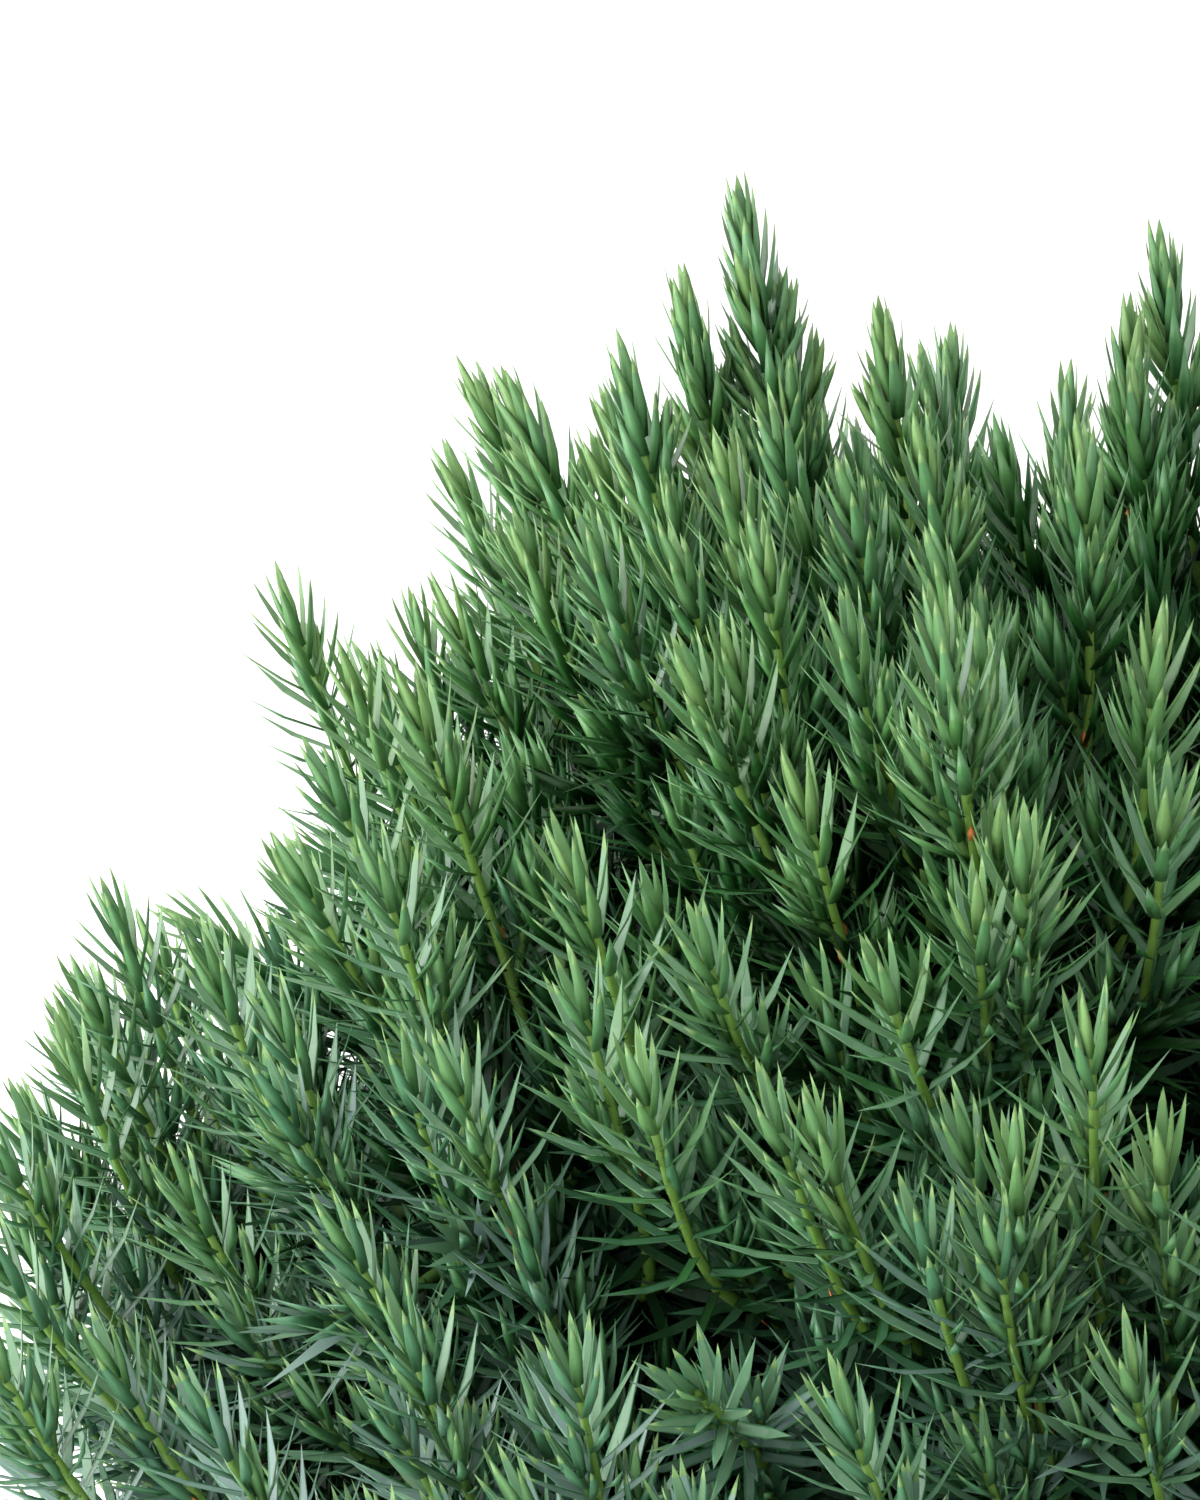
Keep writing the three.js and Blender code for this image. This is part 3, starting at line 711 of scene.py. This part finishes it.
def needle_materials():
    """All needle finishes in one list, and the places in it of each row's first back and first face."""
    made = []
    firsts = []
    for side, ages in (("back", BACKS), ("face", FACES)):
        places = []
        for age, shades in enumerate(ages):
            places.append(len(made))
            for at, shade in enumerate(shades):
                made.append(plain_finish(f"{side}_{age}_{at}", shade, NEEDLE_ROUGHNESS, SHINE[age]))
        firsts.append(np.array(places))
    made.append(plain_finish("needle_point", POINT, 0.5))
    made.append(plain_finish("old_point", OLD_POINT, 0.5))
    made.append(plain_finish("dry_needle", DRY, 0.75, 0.3))
    return made, *firsts


def deal_shades(needles, kinds, backs, faces):
    """Each face's material: age and painted shade pick the row, and bloom, spray and number the shade.

    The bloom is stronger the lower the needle stands, and weaker in the bud. The three finishes after the
    last face are the point, the old point and the dry scale.
    """
    age = np.searchsorted(AGE_AND_SHADE_ENDS, needles.age + AGE_VARIES * (chance(needles.spray, 51) - 0.5))
    grown = BLOOM_IN_BUD + (1 - BLOOM_IN_BUD) * ease(*BLOOM_DEPTHS, needles.depth)
    bloom = (1 - ease(*BLOOM_HEIGHTS, needles.foot[:, 2])) * grown
    dealt_out = SPRAY_COUNTS * chance(needles.spray, 52) + OWN_COUNTS * chance(needles.number, 53)
    mixed = (BLOOM_COUNTS * bloom + dealt_out) * UNDER_ONE
    back = backs[age] + np.floor(mixed * len(BACKS[0])).astype(int)
    face = faces[age] + np.floor(mixed * len(FACES[0])).astype(int)
    first_point = faces[-1] + len(FACES[-1])
    point = np.where(age < POINTED_AGES, first_point, first_point + 1)
    dealt = np.stack([face, back, point], -1)[:, kinds]
    dealt[is_scale(needles)] = first_point + 2
    return dealt


def bark_finish(name, dark, light, scale):
    """Bark: long flakes from noise stretched four times along Z set the colour and the relief."""
    material = bpy.data.materials.new(name)
    material.use_nodes = True
    nodes = material.node_tree.nodes
    links = material.node_tree.links
    shader = nodes["Principled BSDF"]
    place = nodes.new("ShaderNodeTexCoord")
    mapping = nodes.new("ShaderNodeMapping")
    mapping.inputs["Scale"].default_value = (scale, scale, scale * 0.25)
    flakes = nodes.new("ShaderNodeTexNoise")
    flakes.inputs["Scale"].default_value = 1.0
    flakes.inputs["Detail"].default_value = 6.0
    ramp = nodes.new("ShaderNodeValToRGB")
    ramp.color_ramp.elements[0].position = 0.35
    ramp.color_ramp.elements[0].color = linear(*dark)
    ramp.color_ramp.elements[1].position = 0.68
    ramp.color_ramp.elements[1].color = linear(*light)
    relief = nodes.new("ShaderNodeBump")
    relief.inputs["Strength"].default_value = 0.6
    relief.inputs["Distance"].default_value = 0.0004
    links.new(place.outputs["Object"], mapping.inputs["Vector"])
    links.new(mapping.outputs["Vector"], flakes.inputs["Vector"])
    links.new(flakes.outputs["Fac"], ramp.inputs["Fac"])
    links.new(ramp.outputs["Color"], shader.inputs["Base Color"])
    links.new(flakes.outputs["Fac"], relief.inputs["Height"])
    links.new(relief.outputs["Normal"], shader.inputs["Normal"])
    shader.inputs["Roughness"].default_value = 0.85
    return material


# ---- Meshes ----

def mesh_piece(name, points, triangles, materials, dealt=None, smooth=True):
    """A piece from whole arrays of points and triangles, with each triangle's material and shading."""
    mesh = bpy.data.meshes.new(name)
    mesh.vertices.add(len(points))
    mesh.vertices.foreach_set("co", (points * MM).astype(np.float32).ravel())
    mesh.loops.add(triangles.size)
    mesh.loops.foreach_set("vertex_index", triangles.astype(np.int32).ravel())
    mesh.polygons.add(len(triangles))
    mesh.polygons.foreach_set("loop_start", np.arange(0, triangles.size, 3, dtype=np.int32))
    for material in materials:
        mesh.materials.append(material)
    if dealt is not None:
        mesh.polygons.foreach_set("material_index", dealt.astype(np.int32).ravel())
    mesh.polygons.foreach_set("use_smooth", np.broadcast_to(smooth, len(triangles)).astype(bool))
    mesh.update(calc_edges=True)
    mesh.validate()
    piece = bpy.data.objects.new(name, mesh)
    bpy.context.collection.objects.link(piece)
    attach(piece, "root")
    return piece


def tube_triangles(count, rows, sides):
    """The triangles of count closed tubes: quads split in two between rows, and a fan over each end."""
    row, side = np.meshgrid(np.arange(rows - 1), np.arange(sides), indexing="ij")
    a = (row * sides + side).ravel()
    b = (row * sides + (side + 1) % sides).ravel()
    walls = np.concatenate([np.stack([a, b, b + sides], -1), np.stack([a, b + sides, a + sides], -1)])
    ring = np.arange(sides)
    foot = rows * sides
    tip = foot + 1
    last = (rows - 1) * sides
    lower = np.stack([(ring + 1) % sides, ring, np.full(sides, foot)], -1)
    upper = np.stack([last + ring, last + (ring + 1) % sides, np.full(sides, tip)], -1)
    one = np.concatenate([walls, lower, upper])
    return one[None] + (np.arange(count) * (rows * sides + 2))[:, None, None]


def tube_points(places, ways, radii, sides):
    """Closed tubes: a ring of points at each place, square to its way, and a point at each end."""
    first, second = across_frame(ways)
    turn = np.arange(sides) * 2 * math.pi / sides
    ring = first[..., None, :] * np.cos(turn)[:, None] + second[..., None, :] * np.sin(turn)[:, None]
    rings = places[..., None, :] + ring * radii[..., None, None]
    return np.concatenate([rings.reshape(len(places), -1, 3), places[:, :1], places[:, -1:]], 1)


def needle_piece(name, needles, finishes, shape):
    """One joined mesh of needles that are all shaped alike, without those that would reach the ground."""
    materials, backs, faces = finishes
    points = needle_rings(needles, **shape)
    above = points[..., 2].min(1) > NEEDLES_ABOVE
    points = points[above]
    triangles, kinds = needle_faces(len(shape["shares"]), shape["banded"])
    count = len(points)
    joined = (triangles[None] + (np.arange(count) * points.shape[1])[:, None, None]).reshape(-1, 3)
    dealt = deal_shades(needles.pick(above), kinds, backs, faces)
    smooth = np.tile(kinds != 0, count)
    piece = mesh_piece(name, points.reshape(-1, 3), joined, materials, dealt, smooth)
    return piece


def twig_piece(name, twigs, radii, sides, rows, materials):
    """One joined mesh of twigs that taper between two radii, green at their ends and brown further down."""
    foot_radius, end_radius = radii
    shares = np.broadcast_to(np.linspace(0, 1, rows), (len(twigs.home), rows))
    places = bezier(twigs.corners[:, None], shares)
    ways = bezier_way(twigs.corners[:, None], shares)
    radius = (foot_radius + (end_radius - foot_radius) * shares) * twigs.size[:, None]
    points = tube_points(places, ways, radius, sides).reshape(-1, 3)
    triangles = tube_triangles(len(twigs.home), rows, sides).reshape(-1, 3)
    depth = (1 - (shares[:, :-1] + shares[:, 1:]) / 2) * twigs.length[:, None]
    wall = np.repeat(depth[:, :, None] > BROWN_FROM, sides, 2).reshape(len(depth), -1)
    foot = np.repeat(wall[:, :1], sides, 1)
    end = np.repeat(wall[:, -1:], sides, 1)
    brown = np.concatenate([wall, wall, foot, end], 1).astype(int)
    piece = mesh_piece(name, points, triangles, materials, brown)


# ---- Bark pieces ----

def trunk_piece(material):
    """The stem: rings whose radius follows its taper, with lobes that fade out above the ground and flakes.

    A flake's relief is a product of sines of the angle and the height, with whole turns of the angle, so it
    closes round the stem.
    """
    rows = 90
    sides = 96
    height = np.linspace(0, TRUNK_HEIGHT, rows)[:, None]
    turn = np.arange(sides)[None] * 2 * math.pi / sides
    radius = np.interp(height[:, 0], TRUNK_HEIGHTS, TRUNK_RADII)[:, None]
    fade = np.clip(1 - height / LOBES_END, 0, 1)
    radius = radius * (1 + LOBE_DEPTH * fade * np.cos(ROOT_LOBES * turn))
    flakes = np.sin(9 * turn + 0.35 * height) * np.sin(4 * turn - 0.22 * height + 1.3)
    fine = np.sin(23 * turn + 0.9 * np.sin(0.5 * height)) * np.sin(0.8 * height + 5 * turn)
    radius = radius + FLAKE_DEPTH * flakes + FINE_FLAKE_DEPTH * fine - FLAKES_SET_BACK
    x = radius * np.cos(turn) + TRUNK_LEAN[0] * height / TRUNK_HEIGHT
    y = radius * np.sin(turn) + TRUNK_LEAN[1] * height / TRUNK_HEIGHT
    rings = np.stack([x, y, np.broadcast_to(height, x.shape)], -1).reshape(-1, 3)
    ends = [[0, 0, 0], [*TRUNK_LEAN, TRUNK_HEIGHT]]
    triangles = tube_triangles(1, rows, sides).reshape(-1, 3)
    piece = mesh_piece("trunk_bark", np.concatenate([rings, ends]), triangles, [material])
    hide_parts("trunk")


def bough_corners(hearts, axes):
    """Each bough's curve: it leaves the stem at its own height, rises and turns into its mass's axis."""
    share = np.arange(MASSES) / (MASSES - 1)
    height = HIGHEST_BOUGH + (LOWEST_BOUGH - HIGHEST_BOUGH) * share
    foot = np.stack([*(TRUNK_LEAN[:, None] * height / TRUNK_HEIGHT), height], -1)
    straight = unit(hearts - foot)
    arrives = unit((1 - BOUGH_TURNS) * straight + BOUGH_TURNS * axes)
    rises = unit(straight * LEVEL + UP * BOUGH_RISES)
    leaves = (rises + straight) / 2
    span = np.linalg.norm(hearts - foot, axis=-1)[:, None] * BOUGH_EASE
    return np.stack([foot, foot + leaves * span, hearts - arrives * span, hearts], 1)


def bough_piece(corners, material):
    """The boughs: tapering tubes whose knots and rings of flakes are a slow and a quick sine along them."""
    rows = 44
    sides = 14
    shares = np.broadcast_to(np.linspace(0, 1, rows), (MASSES, rows))
    places = bezier(corners[:, None], shares)
    ways = bezier_way(corners[:, None], shares)
    knots = KNOT_DEPTH * np.sin(31 * shares + np.arange(MASSES)[:, None])
    flakes = FLAKE_RINGS * np.sin(83 * shares)
    radii = BOUGH_RADIUS_FOOT + (BOUGH_RADIUS_TIP - BOUGH_RADIUS_FOOT) * shares + (knots + flakes)
    points = tube_points(places, ways, radii, sides).reshape(-1, 3)
    triangles = tube_triangles(MASSES, rows, sides).reshape(-1, 3)
    piece = mesh_piece("bough_bark", points, triangles, [material])
    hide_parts(*[f"bough_{mass + 1:02d}" for mass in range(MASSES)])


# ---- The whole plant ----

hearts, axes, middles = plan_masses()
tips, home = plan_tips(hearts, axes, middles)
under_tips, under_home = plan_under_tips(middles)
mains = main_twigs(tips, home, np.arange(len(tips)), hearts, axes)
unders = main_twigs(under_tips, under_home, UNDER_NUMBERS + np.arange(UNDER_SHOOTS), hearts, axes)
sides = side_twigs(mains, SIDE_SHOOTS)
under_sides = side_twigs(unders, UNDER_SIDES)
boughs = bough_corners(hearts, axes)
olds = (("heart", heart_twigs(hearts)), ("bough", bough_twigs(boughs)))

trunk_piece(bark_finish("trunk_bark", (58, 42, 30), (128, 104, 82), 400))
bough_piece(boughs, bark_finish("bough_bark", (30, 22, 14), (54, 42, 30), 900))

brown_twig = plain_finish("brown_twig", BROWN_TWIG, 0.8, 0.3)
twig_finishes = [plain_finish("green_twig", GREEN_TWIG, 0.55), brown_twig]
stem_finishes = [plain_finish("green_stem", GREEN_STEM, 0.55), brown_twig]
twig_piece("main_twigs", mains, (1.0, 0.4), 6, 11, stem_finishes)
twig_piece("under_twigs", unders, (1.0, 0.5), 5, 8, twig_finishes)
twig_piece("side_twigs", sides, (0.6, 0.45), 4, 6, twig_finishes)
twig_piece("under_side_twigs", under_sides, (0.6, 0.45), 4, 6, twig_finishes)
for label, twigs in olds:
    twig_piece(f"{label}_twigs", twigs, (0.8, 0.5), 4, 5, twig_finishes)

# The finest needles are joined by groups of masses, and each coarser shape's in one piece. The under shoots
# have no needles of the finest shape, and the old twigs have only spikes.
needle_finishes = needle_materials()
grown = (("main", mains, 0), ("side", sides, 0), ("under", unders, 1), ("under_side", under_sides, 1))
for label, twigs, finest in grown:
    needles = Needles(twigs)
    kinds = shape_kinds(needles, finest)
    groups = MASSES // MASSES_A_PIECE if finest == 0 else 0
    for group in range(groups):
        masses = range(group * MASSES_A_PIECE, (group + 1) * MASSES_A_PIECE)
        here = needles.pick(np.isin(needles.home, list(masses)) & (kinds == 0))
        piece = needle_piece(f"{label}_needles_{group + 1}", here, needle_finishes, FINE)
        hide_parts(*[f"foliage_{mass + 1:02d}" for mass in masses])
    for at, (word, shape) in enumerate(COARSER, 1):
        needle_piece(f"{label}_{word}_needles", needles.pick(kinds == at), needle_finishes, shape)
for label, twigs in olds:
    # The old twigs' needles are dealt darker rows deep inside the crown: their age and painted shade.
    needle_piece(f"{label}_needles", Needles(twigs, OLD_AGEING_AND_SHADE), needle_finishes, SPIKE)


# ---- Floor, light and camera ----

FLOOR_HALF = 8000.0
SURROUND_STRENGTH = 0.97
SUNS = [  # each soft sun's name, strength, spread in degrees and the way to it
    ("top_light", 1.6, 120, (-0.2, 0, 1)),
    ("front_light", 0.7, 120, (-1, -0.7, 0.0)),
]
SUN_COLOUR = (1.0, 1.0, 0.99)
SOFT_BOX_PLACE = Vector((-520, -40, 240))
SOFT_BOX_AIM = Vector((-30, 0, 90))  # the point that it faces
SOFT_BOX_ACROSS = 800.0
SOFT_BOX_POWER = 6.4

CAMERA_RISE = math.radians(12)
CAMERA_DISTANCE = 620.0
CAMERA_LENS = 141.7
AIM_RIGHT = -55.65  # how far to the right of the crown's middle the picture's middle lies
AIM_UP = 68.78  # and how far above it, square to the view


def floor():
    """A wide pale floor."""
    half = FLOOR_HALF * MM
    corners = [(-half, -half, 0), (half, -half, 0), (half, half, 0), (-half, half, 0)]
    mesh = bpy.data.meshes.new("floor")
    mesh.from_pydata(corners, [], [(0, 1, 2, 3)])
    mesh.materials.append(plain_finish("floor", FLOOR_WHITE, 0.9, 0.1))
    ground = bpy.data.objects.new("floor", mesh)
    bpy.context.collection.objects.link(ground)


def lights():
    """A white surround, two soft suns from above and the front left, and a round soft box on the left."""
    world = bpy.data.worlds.new("surround")
    world.use_nodes = True
    surround = world.node_tree.nodes["Background"]
    surround.inputs["Color"].default_value = (1.0, 1.0, 1.0, 1)
    surround.inputs["Strength"].default_value = SURROUND_STRENGTH
    bpy.context.scene.world = world
    for name, strength, spread, towards in SUNS:
        sun = bpy.data.lights.new(name, "SUN")
        sun.energy = strength
        sun.angle = math.radians(spread)
        sun.color = SUN_COLOUR
        lamp = bpy.data.objects.new(name, sun)
        lamp.rotation_euler = Vector(towards).to_track_quat("Z", "Y").to_euler()
        bpy.context.collection.objects.link(lamp)
    disk = bpy.data.lights.new("soft_box", "AREA")
    disk.shape = "DISK"
    disk.size = SOFT_BOX_ACROSS * MM
    disk.energy = SOFT_BOX_POWER
    box = bpy.data.objects.new("soft_box", disk)
    box.location = SOFT_BOX_PLACE * MM
    box.rotation_euler = (SOFT_BOX_PLACE - SOFT_BOX_AIM).to_track_quat("Z", "Y").to_euler()
    box.visible_camera = False
    bpy.context.collection.objects.link(box)
    bpy.context.scene.view_settings.view_transform = "Standard"


def camera():
    """The camera looks along +Y and down by its rise, at a point beside and above the crown's middle."""
    back = Vector((0, -math.cos(CAMERA_RISE), math.sin(CAMERA_RISE)))
    up = Vector((0, math.sin(CAMERA_RISE), math.cos(CAMERA_RISE)))
    aim = Vector(CROWN_MIDDLE) + Vector((AIM_RIGHT, 0, 0)) + up * AIM_UP
    turned = back.to_track_quat("Z", "Y").to_matrix().to_4x4()
    data = bpy.data.cameras.new("camera")
    data.lens = CAMERA_LENS
    made = bpy.data.objects.new("camera", data)
    made.matrix_world = Matrix.Translation((aim + back * CAMERA_DISTANCE) * MM) @ turned
    bpy.context.collection.objects.link(made)
    bpy.context.scene.camera = made


floor()
lights()
camera()
